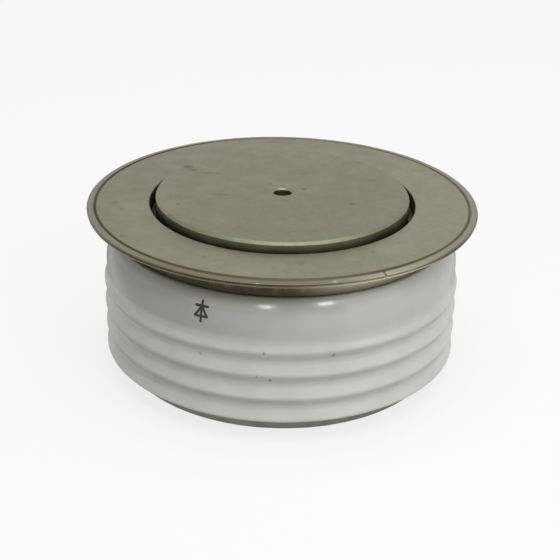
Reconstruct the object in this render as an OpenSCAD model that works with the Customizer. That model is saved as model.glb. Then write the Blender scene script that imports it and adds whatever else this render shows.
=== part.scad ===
// Disc-type rectifier diode, also called a press-pack or hockey-puck diode.
// A silicon wafer lies between two thick copper poles in a ribbed ceramic ring. Thin formed
// rings join the poles to the ceramic, and the rim is pressure welded all round.
// Every piece is a ring or a disc about the Z axis. Z = 0 is the anode's contact face.

/* [Poles] */
// Height over both contact faces, with the diode clamped
height = 35; // [32:0.5:42]
// Diameter of the poles where they show
pole_d = 48.8; // [40:0.1:56]
// Bevel round each contact face
pole_bevel = 0.5; // [0.2:0.1:1]
// How far the buried part of a pole stands out past the part that shows
collar_w = 2; // [1.2:0.1:3]
// Height of the anode pole
anode_pole_h = 13.6; // [10:0.1:16]
// Height of the narrower pad with which a pole presses on the discs
pad_h = 1.2; // [0.6:0.1:2]
// How far the cathode's face stands above the lid
cathode_stand = 1.5; // [0.5:0.1:3]
// How far the anode's face stands below the lower ring
anode_stand = 1.1; // [0.4:0.1:2]

/* [Locating holes] */
// Diameter of the hole in the middle of each contact face
locating_d = 3.5; // [2.5:0.1:6]
// Depth of the hole below the contact face
locating_depth = 3; // [2:0.1:5]
// Countersink at the mouth of the hole
locating_bevel = 0.3; // [0.1:0.1:0.6]

/* [Ceramic ring] */
// Gap between the poles and the bore of the ceramic
bore_gap = 1.6; // [0.8:0.1:3]
// Wall of the ceramic at the bottom of a groove
ceramic_wall = 5.9; // [4:0.1:8]
// Number of ribs, counting the one at the lower end
rib_n = 4; // [2:1:6]
// Depth of the grooves between the ribs
rib_depth = 0.8; // [0.6:0.1:2]
// Width of a rib's crest, before it is rounded
crest_w = 0.4; // [0.3:0.1:0.8]
// Width of a groove's floor, before it is rounded
floor_w = 0.8; // [0.3:0.1:1.2]
// Rounding of the crests
crest_round = 0.6; // [0.2:0.1:1]
// Rounding of the groove floors
floor_round = 2; // [0.4:0.1:3]
// Share of a groove's flanks, in height, that the steep underside of a rib takes
rib_lean = 0.45; // [0.2:0.05:0.5]
// How far the plain band lies inside the rib crests
band_step = 0.5; // [0.3:0.1:0.9]
// Length of the plain, marked band above the top rib's crest
band_h = 9.4; // [7:0.1:11]
// Straight part at the foot of the plain band, before it curves in to the top
band_foot_h = 2.6; // [0.5:0.1:3.5]
// Width of the flat ends to which the metal rings are brazed
end_face_w = 4; // [2:0.1:4.4]
// Height of the lowest crest above the ceramic's lower end
end_rib_h = 0.6; // [0.6:0.05:1.4]

/* [Lid and weld ring] */
// Thickness of the lid's sheet
lid_t = 0.5; // [0.4:0.1:1.2]
// Gap between the cathode pole and the lid's wall, seen from above
recess_gap = 1.15; // [0.6:0.05:2]
// Depth of that gap, from the lid's face to the lid's foot
recess_h = 3; // [2:0.1:4]
// How far the rim stands out past the ribs
rim_overhang = 2.8; // [1.5:0.1:5]
// Width of the slope that the squeezing leaves along the rim's edge
slope_w = 0.9; // [0.4:0.1:1.1]
// Fall of that slope
slope_h = 0.15; // [0.05:0.05:0.2]
// Distance of the weld groove's middle from the rim
weld_groove_in = 1.55; // [1.5:0.05:2.4]
// Width of the weld groove
weld_groove_w = 0.5; // [0.3:0.05:0.6]
// Depth of the weld groove
weld_groove_h = 0.25; // [0.1:0.05:0.3]
// Thickness of the weld ring's sheet
weld_t = 0.5; // [0.4:0.1:1]
// Height of the weld ring from the ceramic to the lid
neck_h = 5; // [2.5:0.1:6]
// How much smaller in radius the weld ring's rim is than the lid's
weld_inset = 0.1; // [0:0.05:0.3]

/* [Lower ring] */
// Thickness of the lower ring's sheet
lower_ring_t = 0.6; // [0.4:0.1:0.8]
// Height of the lower ring
lower_ring_h = 3.2; // [2.4:0.1:4]
// How far the ceramic's ribs stand out past the lower ring
lower_ring_in = 3.15; // [2.5:0.05:3.8]
// Outer bend radius of the lower ring
lower_ring_bend = 0.8; // [0.7:0.1:1.1]

/* [Discs inside] */
// Width of the step between a pole's buried part and the anode disc's edge
disc_inset = 0.9; // [0.5:0.1:1.4]
// Thickness of the anode-side molybdenum disc, to which the wafer is alloyed
anode_disc_t = 2.5; // [1.5:0.1:3.5]
// Thickness of the silicon wafer
wafer_t = 1; // [0.5:0.1:1.2]
// How far the wafer's underside lies inside the anode disc's edge
wafer_inset = 0.5; // [0.3:0.1:0.8]
// Width of the bevel ground on the wafer's edge
wafer_bevel = 0.8; // [0.4:0.1:1.2]
// How far the cathode disc lies inside the wafer's upper edge
cathode_inset = 1.2; // [0.8:0.1:2]
// Thickness of the cathode-side molybdenum disc
cathode_disc_t = 2; // [1.5:0.1:3]
// Thickness of the silver foil between the cathode disc and its pole
foil_t = 0.2; // [0.1:0.05:0.3]
// Height of the rubber seal above the wafer
seal_h = 0.5; // [0.3:0.1:0.6]
// How far the rubber seal reaches in over the wafer
seal_cover = 0.7; // [0.3:0.1:0.7]
// Clearance of the centring ring round the discs and in the ceramic
centring_gap = 0.1; // [0.05:0.05:0.3]
// Thickness of the centring ring's inner lip
centring_lip_t = 1; // [0.6:0.1:1.2]

/* [Hidden] */
$fn = 96;

nickel = [0.60, 0.57, 0.49];
glaze = [0.80, 0.80, 0.77];

// Radii, from the poles outward
pole_r = pole_d / 2;
collar_r = pole_r + collar_w;
bore_r = collar_r + bore_gap;
floor_r = bore_r + ceramic_wall;
crest_r = floor_r + rib_depth;
band_r = crest_r - band_step;
end_r = bore_r + end_face_w;
rim_r = crest_r + rim_overhang;
lid_wall_r = pole_r + recess_gap;
lower_ring_r = crest_r - lower_ring_in;
anode_disc_r = collar_r - disc_inset;
wafer_r = anode_disc_r - wafer_inset;
wafer_top_r = wafer_r - wafer_bevel;
cathode_disc_r = wafer_top_r - cathode_inset;

// Heights of the housing
lid_top_z = height - cathode_stand;
joint_z = lid_top_z - lid_t;
foot_z = lid_top_z - recess_h - lid_t;
ceramic_top_z = joint_z - neck_h;
ceramic_z = anode_stand + lower_ring_h;
ceramic_h = ceramic_top_z - ceramic_z;
anode_collar_z = anode_stand + lower_ring_t;

// Heights of the discs between the poles
anode_disc_z = anode_pole_h;
wafer_z = anode_disc_z + anode_disc_t;
wafer_top_z = wafer_z + wafer_t;
foil_z = wafer_top_z + cathode_disc_t;
cathode_pole_z = foil_z + foil_t;
seal_top_z = wafer_top_z + seal_h;

// Pitch of the ribs, and the heights of a rib's steep underside and of its gentle upper flank
rib_pitch = (ceramic_h - band_h - end_rib_h) / (rib_n - 1);
under_h = (rib_pitch - crest_w - floor_w) * rib_lean;
upper_h = (rib_pitch - crest_w - floor_w) * (1 - rib_lean);

// Edge radius of cut sheet, inner bend radius of thin sheet, and radius of ground ceramic edges
sheet_edge = 0.2;
sheet_bend = 0.3;
ceramic_edge = 0.4;
// Overlap that keeps a cut from sharing a face with what it cuts
cut = 0.1;

// Unit vector along v
function unit(v) = v / norm(v);

// Points of an arc about c from angle a0 to a1, in n steps
function arc(c, r, a0, a1, n) =
    [for (i = [0:n]) c + r * [cos(a0 + (a1 - a0) * i / n), sin(a0 + (a1 - a0) * i / n)]];

// The corner b between a and c, rounded by b's third number, which the two edges limit
function corner(a, b, c, n) =
    let(p = [b.x, b.y], u = unit([a.x, a.y] - p), v = unit([c.x, c.y] - p),
        half = acos(u * v) / 2,
        reach = min(norm([a.x, a.y] - p), norm([c.x, c.y] - p)) * 0.48,
        r = min(b.z, reach * tan(half)))
    r < 0.01 ? [p] :
    let(centre = p + unit(u + v) * r / sin(half),
        s = p + u * r / tan(half) - centre,
        e = p + v * r / tan(half) - centre,
        a0 = atan2(s.y, s.x), turn = atan2(e.y, e.x) - a0)
    arc(centre, r, a0, a0 + (turn > 180 ? turn - 360 : turn < -180 ? turn + 360 : turn), n);

// A closed outline of [radius, height, rounding] corners with its corners rounded
function rounded(p, n = 5) =
    [for (i = [0:len(p) - 1]) each corner(p[(i + len(p) - 1) % len(p)], p[i], p[(i + 1) % len(p)], n)];

// One turned or formed ring
module ring(outline) {
    rotate_extrude() polygon(outline);
}

// Blind locating hole, countersunk, opening upward at z = 0
module locating_hole() {
    translate([0, 0, -locating_depth]) cylinder(h = locating_depth + cut, d = locating_d);
    translate([0, 0, -locating_bevel])
        cylinder(h = locating_bevel + cut, d1 = locating_d, d2 = locating_d + 2 * (locating_bevel + cut));
}

// Lower copper pole: contact face, collar seated on the lower ring, and the pad under the discs
module anode_pole() {
    color(nickel) difference() {
        ring([[0, 0], [pole_r - pole_bevel, 0], [pole_r, pole_bevel], [pole_r, anode_collar_z],
              [collar_r, anode_collar_z], [collar_r, anode_pole_h - pad_h],
              [anode_disc_r, anode_pole_h - pad_h], [anode_disc_r, anode_pole_h], [0, anode_pole_h]]);
        mirror([0, 0, 1]) locating_hole();
    }
}

// Lower ring: a thin formed ring, brazed to the anode pole and to the ceramic's lower end
module anode_ring() {
    inner_r = lower_ring_r - lower_ring_t;
    lip_r = bore_r + ceramic_edge;
    color(nickel)
        ring(rounded([[pole_r, anode_stand, 0],
                      [lower_ring_r, anode_stand, lower_ring_bend],
                      [lower_ring_r, ceramic_z, lower_ring_bend],
                      [lip_r, ceramic_z, 0],
                      [lip_r, ceramic_z - lower_ring_t, sheet_edge],
                      [inner_r, ceramic_z - lower_ring_t, lower_ring_bend - lower_ring_t],
                      [inner_r, anode_collar_z, lower_ring_bend - lower_ring_t],
                      [pole_r, anode_collar_z, 0]]));
}

// Corners of one rib's crest at height z, on the way up
function crest(z) = [[crest_r, z - crest_w / 2, crest_round], [crest_r, z + crest_w / 2, crest_round]];

// Corners of the groove floor above a crest at height z
function groove(z) =
    [[floor_r, z + crest_w / 2 + upper_h, floor_round],
     [floor_r, z + rib_pitch - crest_w / 2 - under_h, floor_round]];

// Glazed insulator: ribs over the lower part, and a plain band that curves in to the top end
module ceramic_ring() {
    first_z = ceramic_z + end_rib_h;
    top_crest_z = first_z + (rib_n - 1) * rib_pitch;
    // The top rib's upper flank has the slope of the others, and stops at the plain band
    band_z = top_crest_z + crest_w / 2 + upper_h * band_step / rib_depth;
    curve_z = band_z + band_foot_h;
    drop = band_r - end_r;
    rise = ceramic_top_z - curve_z;
    curve_r = (rise * rise + drop * drop) / (2 * drop);
    ribs = [for (i = [0:rib_n - 2]) let(z = first_z + i * rib_pitch) each concat(crest(z), groove(z))];
    lower = rounded(concat([[bore_r, ceramic_z, 0], [floor_r, ceramic_z, ceramic_edge]], ribs,
                           crest(top_crest_z), [[band_r, band_z, floor_round], [band_r, curve_z, 0]],
                           [[bore_r, curve_z, 0]]));
    color(glaze) ring(concat([for (p = lower) if (p != [bore_r, curve_z]) p],
                             arc([band_r - curve_r, curve_z], curve_r, 0, asin(rise / curve_r), 18),
                             [[bore_r, ceramic_top_z]]));
}

// Ring brazed to the ceramic's top end, with a neck and a rim that takes the lid
module weld_ring() {
    out_r = end_r - ceramic_edge;
    in_r = out_r - weld_t;
    rim = rim_r - weld_inset;
    color(nickel)
        ring(rounded([[bore_r + ceramic_edge, ceramic_top_z, 0],
                      [out_r, ceramic_top_z, sheet_edge],
                      [out_r, joint_z - weld_t, sheet_bend],
                      [rim, joint_z - weld_t, sheet_edge],
                      [rim, joint_z, sheet_edge],
                      [in_r, joint_z, sheet_bend + weld_t],
                      [in_r, ceramic_top_z + weld_t, sheet_bend],
                      [bore_r + ceramic_edge, ceramic_top_z + weld_t, sheet_edge]]));
}

// Lid: a flat ring round a recess, brazed to the cathode pole at its foot, welded at its rim
module lid() {
    groove_r = rim_r - weld_groove_in;
    color(nickel)
        ring(rounded([[pole_r, foot_z, 0],
                      [lid_wall_r + lid_t, foot_z, sheet_bend + lid_t],
                      [lid_wall_r + lid_t, joint_z, sheet_bend],
                      [rim_r, joint_z, sheet_edge],
                      [rim_r, lid_top_z - slope_h, sheet_edge],
                      [rim_r - slope_w, lid_top_z, sheet_edge],
                      [groove_r + weld_groove_w / 2, lid_top_z, sheet_edge],
                      [groove_r, lid_top_z - weld_groove_h, sheet_edge / 2],
                      [groove_r - weld_groove_w / 2, lid_top_z, sheet_edge],
                      [lid_wall_r, lid_top_z, sheet_bend],
                      [lid_wall_r, foot_z + lid_t, sheet_bend],
                      [pole_r, foot_z + lid_t, 0]]));
}

// Upper copper pole: pad on the foil, collar under the lid's foot, and the contact face
module cathode_pole() {
    color(nickel) difference() {
        ring([[0, cathode_pole_z], [cathode_disc_r, cathode_pole_z],
              [cathode_disc_r, cathode_pole_z + pad_h], [collar_r, cathode_pole_z + pad_h],
              [collar_r, foot_z], [pole_r, foot_z], [pole_r, height - pole_bevel],
              [pole_r - pole_bevel, height], [0, height]]);
        translate([0, 0, height]) locating_hole();
    }
}

// Molybdenum disc under the wafer
module anode_disc() {
    color("dimgray") translate([0, 0, anode_disc_z]) cylinder(h = anode_disc_t, r = anode_disc_r);
}

// Silicon wafer with its bevelled edge
module silicon_wafer() {
    color("slategray") translate([0, 0, wafer_z]) cylinder(h = wafer_t, r1 = wafer_r, r2 = wafer_top_r);
}

// Silicone rubber moulded round the wafer's edge
module edge_seal() {
    in_r = wafer_top_r - seal_cover;
    color("whitesmoke")
        ring(rounded([[wafer_r, wafer_z, 0], [anode_disc_r, wafer_z, 0],
                      [anode_disc_r, seal_top_z, seal_h], [in_r, seal_top_z, sheet_edge],
                      [in_r, wafer_top_z, 0], [wafer_top_r, wafer_top_z, 0]]));
}

// Molybdenum disc on the wafer
module cathode_disc() {
    color("dimgray") translate([0, 0, wafer_top_z]) cylinder(h = cathode_disc_t, r = cathode_disc_r);
}

// Silver foil between the cathode disc and the cathode pole
module silver_foil() {
    color("silver") translate([0, 0, foil_z]) cylinder(h = foil_t, r = cathode_disc_r);
}

// Plastic ring that stands on the anode pole's collar and centres the discs in the ceramic
module centring_ring() {
    out_r = bore_r - centring_gap;
    in_r = anode_disc_r + centring_gap;
    lip_r = cathode_disc_r + centring_gap;
    lip_z = seal_top_z + centring_gap;
    foot = anode_pole_h - pad_h;
    color("ivory")
        ring([[in_r, foot], [out_r, foot], [out_r, lip_z + centring_lip_t],
              [lip_r, lip_z + centring_lip_t], [lip_r, lip_z], [in_r, lip_z]]);
}

anode_pole();
anode_ring();
ceramic_ring();
weld_ring();
lid();
cathode_pole();
anode_disc();
silicon_wafer();
edge_seal();
cathode_disc();
silver_foil();
centring_ring();
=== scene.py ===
# %% [markdown]
# A disc-type rectifier diode is a flat ceramic ring with a copper pole in each end, clamped between
# two heat sinks. Its sizes come from a CAD model, which is loaded first and never changed. What is
# made here is the look: finely rounded surfaces, dull nickel plate, thick white glaze and a printed
# symbol. The sizes in this file are millimetres, and one factor turns them into Blender's metres.

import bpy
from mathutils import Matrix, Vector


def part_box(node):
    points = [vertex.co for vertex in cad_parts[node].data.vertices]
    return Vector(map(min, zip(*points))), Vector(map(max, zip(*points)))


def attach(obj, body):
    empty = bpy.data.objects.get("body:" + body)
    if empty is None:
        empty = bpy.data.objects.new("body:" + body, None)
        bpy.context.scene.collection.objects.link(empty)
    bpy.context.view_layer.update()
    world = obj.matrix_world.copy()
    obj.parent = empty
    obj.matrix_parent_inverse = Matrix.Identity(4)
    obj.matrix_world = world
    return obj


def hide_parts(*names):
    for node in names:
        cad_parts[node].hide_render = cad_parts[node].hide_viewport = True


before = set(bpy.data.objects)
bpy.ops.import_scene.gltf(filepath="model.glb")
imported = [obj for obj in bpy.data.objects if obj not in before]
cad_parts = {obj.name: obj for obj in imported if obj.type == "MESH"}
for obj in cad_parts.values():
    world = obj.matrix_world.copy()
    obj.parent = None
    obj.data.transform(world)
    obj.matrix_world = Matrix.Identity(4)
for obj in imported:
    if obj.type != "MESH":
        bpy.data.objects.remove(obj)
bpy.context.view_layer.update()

import bpy
import numpy as np
from mathutils import Matrix

MM = 0.001


def reach(node):
    """Outer radius, lowest height and highest height of a CAD node, in millimetres."""
    low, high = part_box(node)
    return high.x / MM, low.z / MM, high.z / MM


def pose(axes, place):
    """Matrix of an object whose own X, Y and Z are the columns of axes, at a place in millimetres."""
    matrix = np.eye(4)
    matrix[:3, :3] = axes
    matrix[:3, 3] = np.array(place) * MM
    return Matrix(matrix.tolist())


# %% [markdown]
# The camera comes before the shapes, because some marks are placed through it. It looks down at the
# diode from the front. A long lens from a moderate distance gives the photograph's slight
# perspective, and a small roll lets the rim fall a little to the right, as it does there. The lens
# follows from the focal length in pixels, since Blender measures a lens against its sensor's width.

# %% Place the camera
PICTURE_PX = 560
FOCAL_PX = 1186
AIM = np.array([-0.15, 0, 16.1])
DISTANCE = 237.0
ELEVATION = 25.75
ROLL = 1.2

tilt, roll = np.radians([ELEVATION, ROLL])
level = np.array([1, 0, 0])
upright = np.array([0, np.sin(tilt), np.cos(tilt)])
back = np.array([0, -np.cos(tilt), np.sin(tilt)])
right = np.cos(roll) * level + np.sin(roll) * upright
up = np.cos(roll) * upright - np.sin(roll) * level
eye = AIM + DISTANCE * back

camera_data = bpy.data.cameras.new("camera")
camera_data.sensor_width = 36
camera_data.lens = camera_data.sensor_width * FOCAL_PX / PICTURE_PX
camera_data.clip_start = 0.01
camera_data.clip_end = 20
camera = bpy.data.objects.new("camera", camera_data)
camera.matrix_world = pose(np.column_stack([right, up, back]), eye)
bpy.context.scene.collection.objects.link(camera)
bpy.context.scene.camera = camera
bpy.context.scene.view_settings.view_transform = "Standard"
print(f"lens {camera_data.lens:.1f} mm, camera at {np.round(eye, 1)} mm")


def sight(pixel):
    """Step from the eye along a pixel's line of sight: one unit forward, and aside as the lens says."""
    across, down = np.array(pixel, float) - PICTURE_PX / 2
    return (across * right - down * up) / FOCAL_PX - back


def seen_at(pixel, height):
    """Point where the line of sight through a pixel comes down to a height, in millimetres."""
    step = sight(pixel)
    return eye + step * (height - eye[2]) / step[2]


def seen_on_wall(pixel, radius):
    """Point where the line of sight first meets an upright cylinder about the axis: in plan, the
    smaller root t of |eye + t step| = radius."""
    step = sight(pixel)
    a, b, c = step[:2] @ step[:2], eye[:2] @ step[:2], eye[:2] @ eye[:2] - radius ** 2
    return eye + step * (-b - np.sqrt(b * b - a * c)) / a


# %% [markdown]
# A finish is a tree of nodes. Placing a node, filling its sockets and joining it to others takes
# many lines in plain Blender, so one short function does it. The functions after it name the few
# patterns that all the finishes are made of. They read object coordinates, which here are the
# part's own metres, so a grain of 2 mm is 2 mm on every piece.

# %% Helpers for node materials
SPOT_EDGE = 1.2
SPOT_CORE = 0.3


def add(tree, kind, inputs=None, **settings):
    """Adds a shader node. Inputs go by socket name or number, and are values or other nodes' sockets."""
    made = tree.nodes.new("ShaderNode" + kind)
    for name, value in settings.items():
        setattr(made, name, value)
    for socket, value in (inputs or {}).items():
        if isinstance(value, bpy.types.NodeSocket):
            tree.links.new(value, made.inputs[socket])
        else:
            made.inputs[socket].default_value = value
    return made


def new_finish(name):
    """A new material, its empty node tree, and the socket that gives the place on the part."""
    material = bpy.data.materials.new(name)
    material.use_nodes = True
    material.node_tree.nodes.clear()
    return material, material.node_tree, add(material.node_tree, "TexCoord").outputs["Object"]


def noise(tree, place, grain, seed=0, detail=3, roughness=0.55):
    """Soft random pattern from 0 to 1, with features of about grain millimetres."""
    return add(tree, "TexNoise", {"Vector": place, "W": seed, "Scale": 1 / (grain * MM), "Detail": detail,
                                  "Roughness": roughness}, noise_dimensions="4D").outputs["Fac"]


def grade(tree, value, start, end, low=0.0, high=1.0):
    """Turns start to end into low to high, with soft shoulders and nothing beyond them."""
    limits = {"From Min": start, "From Max": end, "To Min": low, "To Max": high}
    step = add(tree, "MapRange", {"Value": value, **limits}, interpolation_type="SMOOTHSTEP")
    return step.outputs["Result"]


def clouds(tree, place, grain, seed, share=(0.3, 0.7), tone=(0.0, 1.0), detail=3, roughness=0.55):
    """Soft clouds of about grain millimetres: noise within the two shares becomes the two tones."""
    return grade(tree, noise(tree, place, grain, seed, detail, roughness), *share, *tone)


def calc(tree, operation, first, second=0.0):
    """One step of arithmetic on two numbers."""
    return add(tree, "Math", {0: first, 1: second}, operation=operation).outputs[0]


def blend(tree, share, first, second):
    """Colour that goes from the first to the second as share goes from 0 to 1."""
    return add(tree, "Mix", {0: share, 6: first, 7: second}, data_type="RGBA").outputs[2]


def shade(tree, colour, factor):
    """A colour made darker or lighter by a factor."""
    return add(tree, "VectorMath", {0: colour, "Scale": factor}, operation="SCALE").outputs[0]


def flattened(tree, place):
    """The place with its height set to 0, so that a pattern read there runs straight up."""
    return add(tree, "VectorMath", {0: place, 1: (1, 1, 0)}, operation="MULTIPLY").outputs[0]


def radius_of(tree, place):
    """Distance from the diode's axis, in metres."""
    return add(tree, "VectorMath", {0: flattened(tree, place)}, operation="LENGTH").outputs["Value"]


def height_of(tree, place):
    """Height above the anode's contact face, in metres."""
    return add(tree, "SeparateXYZ", {0: place}).outputs["Z"]


def axis_step(tree, place, axis, limits, low=0.0, high=1.0):
    """Soft step along an axis of the part, between two places on it in millimetres."""
    start, end = limits
    value = add(tree, "SeparateXYZ", {0: place}).outputs[axis]
    return grade(tree, value, start * MM, end * MM, low, high)


def from_ring(tree, place, ring_r, ring_z):
    """Distance from a thin ring about the axis, in metres: the length of
    (radius - ring_r, height - ring_z)."""
    aside = calc(tree, "SUBTRACT", radius_of(tree, place), ring_r * MM)
    above = calc(tree, "SUBTRACT", height_of(tree, place), ring_z * MM)
    both = add(tree, "CombineXYZ", {"X": aside, "Y": above}).outputs[0]
    return add(tree, "VectorMath", {0: both}, operation="LENGTH").outputs["Value"]


def spot(tree, place, centre, size, turn=0.0, darkness=1.0):
    """Soft ellipsoid about a point, with half sizes in millimetres and turned about Z. Its value is the
    darkness in the middle and 0 outside."""
    inside = add(tree, "Mapping", {"Vector": place, "Location": tuple(centre * MM), "Rotation": (0, 0, turn),
                                   "Scale": tuple(np.array(size) * MM)}, vector_type="TEXTURE")
    away = add(tree, "VectorMath", {0: inside.outputs[0]}, operation="LENGTH").outputs["Value"]
    return grade(tree, away, SPOT_EDGE, SPOT_CORE, 0, darkness)


def relief(tree, height, depth):
    """Surface relief from a 0 to 1 pattern, depth in millimetres."""
    return add(tree, "Bump", {"Height": height, "Distance": depth * MM, "Strength": 1.0}).outputs["Normal"]


def surface(tree, **inputs):
    """Principled surface with the given inputs, set on its own sockets, as the material's output."""
    sockets = {name.replace("_", " "): value for name, value in inputs.items()}
    skin = add(tree, "BsdfPrincipled", sockets)
    add(tree, "OutputMaterial", {"Surface": skin.outputs[0]})


# %% [markdown]
# The stage is a plain pale floor under a pale world. The floor could be one bright flat colour, but
# then the diode would float. So what the camera and the reflections see is a mix of plain white and
# the floor as it is lit, which keeps the soft shadow under the rim and at the foot. The light that
# bounces off the floor on to the diode is kept lower than such a white floor would give, or the
# shaded ceramic under the rim would be as bright as the rest. The floor lies a hair below the
# diode: two faces in one plane would both be hit by a ray, and leave dark lines seen from below.

# %% Floor and world
FLOOR_WIDTH = 6000
FLOOR_DROP = 0.02
FLOOR_SEEN = (0.95, 0.95, 0.945, 1)
FLOOR_BOUNCE = (0.31, 0.31, 0.305, 1)
FLOOR_WHITE = 0.78
SKY_LEVEL = 0.32

corner, floor_level = FLOOR_WIDTH / 2 * MM, -FLOOR_DROP * MM
floor_mesh = bpy.data.meshes.new("floor")
floor_corners = [(x * corner, y * corner, floor_level) for x, y in [(-1, -1), (1, -1), (1, 1), (-1, 1)]]
floor_mesh.from_pydata(floor_corners, [], [(0, 1, 2, 3)])
floor = bpy.data.objects.new("floor", floor_mesh)
bpy.context.scene.collection.objects.link(floor)


def seen_directly(tree):
    """1 for what the camera sees, straight or in a reflection, and 0 for the light that falls on things."""
    path = add(tree, "LightPath").outputs
    mirrored = calc(tree, "MAXIMUM", path["Is Glossy Ray"], path["Is Transmission Ray"])
    return calc(tree, "MAXIMUM", path["Is Camera Ray"], mirrored)


floor_finish = bpy.data.materials.new("floor")
floor_finish.use_nodes = True
tree = floor_finish.node_tree
tree.nodes.clear()
direct = seen_directly(tree)
lit = add(tree, "BsdfDiffuse", {"Color": blend(tree, direct, FLOOR_BOUNCE, FLOOR_SEEN)}).outputs[0]
white = add(tree, "Emission", {"Color": (1, 1, 1, 1), "Strength": 1.0}).outputs[0]
white_share = calc(tree, "MULTIPLY", direct, FLOOR_WHITE)
seen = add(tree, "MixShader", {0: white_share, 1: lit, 2: white}).outputs[0]
below = add(tree, "BsdfTransparent").outputs[0]
one_sided = add(tree, "MixShader", {0: add(tree, "NewGeometry").outputs["Backfacing"], 1: seen, 2: below})
add(tree, "OutputMaterial", {"Surface": one_sided.outputs[0]})
floor_mesh.materials.append(floor_finish)

world = bpy.data.worlds.new("world")
world.use_nodes = True
world.node_tree.nodes.clear()
tree = world.node_tree
strength = calc(tree, "MAXIMUM", seen_directly(tree), SKY_LEVEL)
sky = add(tree, "Background", {"Color": (1, 1, 1, 1), "Strength": strength})
add(tree, "OutputWorld", {"Surface": sky.outputs[0]})
bpy.context.scene.world = world


# %% [markdown]
# Five lamps light the diode. A large softbox overhead is the main light: it reaches the ribs and
# leaves the band under the rim in shade, so the ribs read as ribs. A softbox low on the right makes
# that side the brighter one. Two small panels in front are there for the glaze: they are what the
# short bright dashes on the ceramic's shoulder mirror, one to the left and one to the right. The last
# is a fill, low at the front right, for the undersides of the ribs. The glaze would mirror it as a
# line along every rib, so it is left out of reflections.

# %% Lamps
LAMP_AIM_Z = 25


def softbox(name, azimuth, elevation, distance, width, height, radiance):
    """Area lamp that faces the diode from a direction in degrees. Azimuth 0 is the camera's side and
    turns to the right. Its power is the radiance times its area times pi."""
    a, e = np.radians([azimuth, elevation])
    outward = np.array([np.sin(a) * np.cos(e), -np.cos(a) * np.cos(e), np.sin(e)])
    data = bpy.data.lights.new(name, "AREA")
    data.shape = "RECTANGLE"
    data.size = width * MM
    data.size_y = height * MM
    data.energy = radiance * width * height * MM ** 2 * np.pi
    lamp = bpy.data.objects.new(name, data)
    sideways = np.array([np.cos(a), np.sin(a), 0])
    turn = np.column_stack([sideways, np.cross(outward, sideways), outward])
    lamp.matrix_world = pose(turn, outward * distance + [0, 0, LAMP_AIM_Z])
    bpy.context.scene.collection.objects.link(lamp)
    return lamp


softbox("overhead_softbox", azimuth=20, elevation=80, distance=900, width=800, height=800, radiance=2.1)
softbox("side_softbox", azimuth=62, elevation=26, distance=900, width=600, height=500, radiance=1.2)
softbox("left_panel", azimuth=-9.5, elevation=34, distance=1000, width=110, height=95, radiance=18)
softbox("right_panel", azimuth=32, elevation=38, distance=1000, width=140, height=125, radiance=18)
fill = softbox("low_fill", azimuth=35, elevation=4, distance=900, width=500, height=300, radiance=2.1)
fill.visible_glossy = False


# %% [markdown]
# Every piece of the housing was turned, pressed or moulded about one axis. So each one is an outline
# of radius and height, carried round that axis. The outline is written as a few corners, each with
# its rounding. The CAD model does the same, but here even a sharp edge gets a fine rounding, because
# a real edge always catches a line of light. Beside each arc goes a holding point: without it,
# smooth shading would bend the light on the flats as well.

# %% Outlines with rounded corners
LEAST_ROUNDING = 0.06
MOST_OF_EDGE = 0.48
HOLD = 0.05


def fillet(before, corner, after, steps):
    """Arc that rounds a corner (radius, height, rounding). Its centre is on the corner's bisector, at
    rounding / sin(half angle), and it touches both edges. Its points swing evenly from one touching point
    to the other: centre + rounding (sin((1 - s) swing) start + sin(s swing) end) / sin(swing)."""
    here = corner[:2]
    to_before, to_after = before[:2] - here, after[:2] - here
    shortest = min(np.linalg.norm(to_before), np.linalg.norm(to_after))
    u, v = to_before / np.linalg.norm(to_before), to_after / np.linalg.norm(to_after)
    half = np.arccos(np.clip(u @ v, -1, 1)) / 2
    size = min(max(corner[2], LEAST_ROUNDING), MOST_OF_EDGE * shortest * np.tan(half))
    centre = here + (u + v) / np.linalg.norm(u + v) * size / np.sin(half)
    start = (here + u * size / np.tan(half) - centre) / size
    end = (here + v * size / np.tan(half) - centre) / size
    swing = np.pi - 2 * half
    share = np.linspace(0, 1, steps + 1)[:, None]
    swung = np.sin((1 - share) * swing) * start + np.sin(share * swing) * end
    return centre + size * swung / np.sin(swing)


def outline(corners, closed=True, steps=7):
    """Rounds the corners of an outline and puts a holding point beside each arc. An open outline keeps
    its two ends."""
    c = np.array(corners, float)
    count = len(c)
    inner = range(count) if closed else range(1, count - 1)
    arcs = [fillet(c[i - 1], c[i], c[(i + 1) % count], steps) for i in inner]
    if not closed:
        arcs = [c[:1, :2]] + arcs + [c[-1:, :2]]
    made = []
    for arc, following in zip(arcs, arcs[1:] + (arcs[:1] if closed else [])):
        made.append(arc)
        gap = following[0] - arc[-1]
        length = np.linalg.norm(gap)
        if length > 3 * HOLD:
            made.append(arc[-1:] + gap * HOLD / length)
            made.append(following[:1] - gap * HOLD / length)
    return np.vstack(made if closed else made + arcs[-1:])


# %% Carry an outline round the axis
AROUND = 512
ON_AXIS = 1e-9


def finish_piece(name, mesh, slot, material, *nodes):
    """Puts a mesh in the scene with its material, the body it rides on and the CAD nodes it stands for."""
    mesh.materials.append(material)
    mesh.shade_smooth()
    piece = bpy.data.objects.new(name, mesh)
    bpy.context.scene.collection.objects.link(piece)
    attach(piece, "root")
    if nodes:
        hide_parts(*nodes)
    print(f"{name}: {len(mesh.polygons)} faces")
    return piece


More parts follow.
